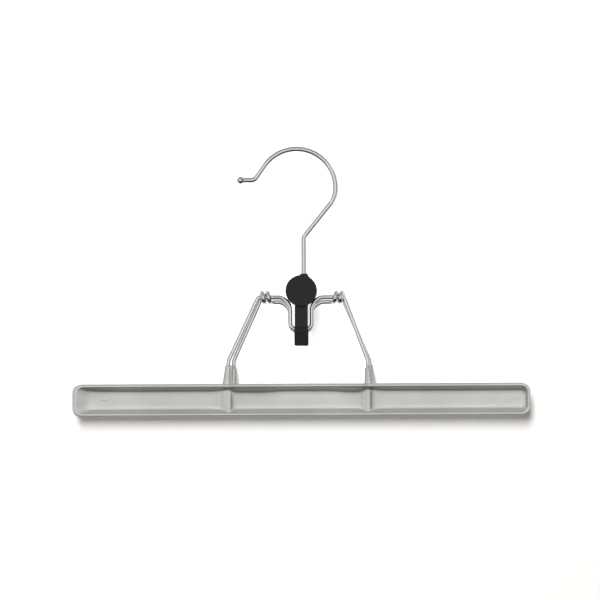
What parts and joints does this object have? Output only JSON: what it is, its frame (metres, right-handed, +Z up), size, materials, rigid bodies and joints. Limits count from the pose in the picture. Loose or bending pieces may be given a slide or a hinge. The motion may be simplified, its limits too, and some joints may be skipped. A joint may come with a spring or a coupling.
{
  "type": "skirt hanger",
  "caption": "Hanger with a swivel wire hook, a flip-over catch and hinged spring-wire frames that clamp a waistband between long coated bars.",
  "frame": {"origin": "the point of the hook's underside that rests on the rail, with the hanger hanging upright", "axes": "+Z up, +X along the clamping bars to the viewer's right, viewer at -Y, hinge axis of the frames along X"},
  "size_m": [0.3, 0.0141, 0.1768],
  "materials": {
    "hook_chrome": "bright chromed wire",
    "frame_chrome": "bright chromed spring wire",
    "catch_plastic": "satin black moulding",
    "cover_plastic": "satin black moulding",
    "jaw_steel": "plain pressed sheet, hidden in its coat",
    "jaw_coat": "satin silver-grey dip coat of soft vinyl"
  },
  "bodies": {
    "hook": {"hook": "hook_chrome"},
    "catch": {"catch_body": "catch_plastic", "cover_disc": "cover_plastic"},
    "rear_half": {"rear_frame": "frame_chrome", "rear_jaw_plate": "jaw_steel", "rear_jaw_coat": "jaw_coat"},
    "front_half": {"front_frame": "frame_chrome", "front_jaw_plate": "jaw_steel", "front_jaw_coat": "jaw_coat"}
  },
  "joints": [
    {"name": "hook_swivel", "type": "hinge", "parent": "hook", "child": "catch", "pos_m": [0.002, 0, -0.092], "axis": [0, 0, 1], "continuous": true},
    {"name": "catch_tilt", "type": "hinge", "parent": "catch", "child": "rear_half", "pos_m": [0, 0.0022, -0.11765], "axis": [1, 0, 0], "range_deg": [-100, 0]},
    {"name": "jaw_open", "type": "hinge", "parent": "rear_half", "child": "front_half", "pos_m": [0, 0, -0.0957], "axis": [1, 0, 0], "range_deg": [-16.7, 0]}
  ],
  "couplings": [
    {"joint": "jaw_open", "follows": "catch_tilt", "ratio": 0.16667}
  ]
}
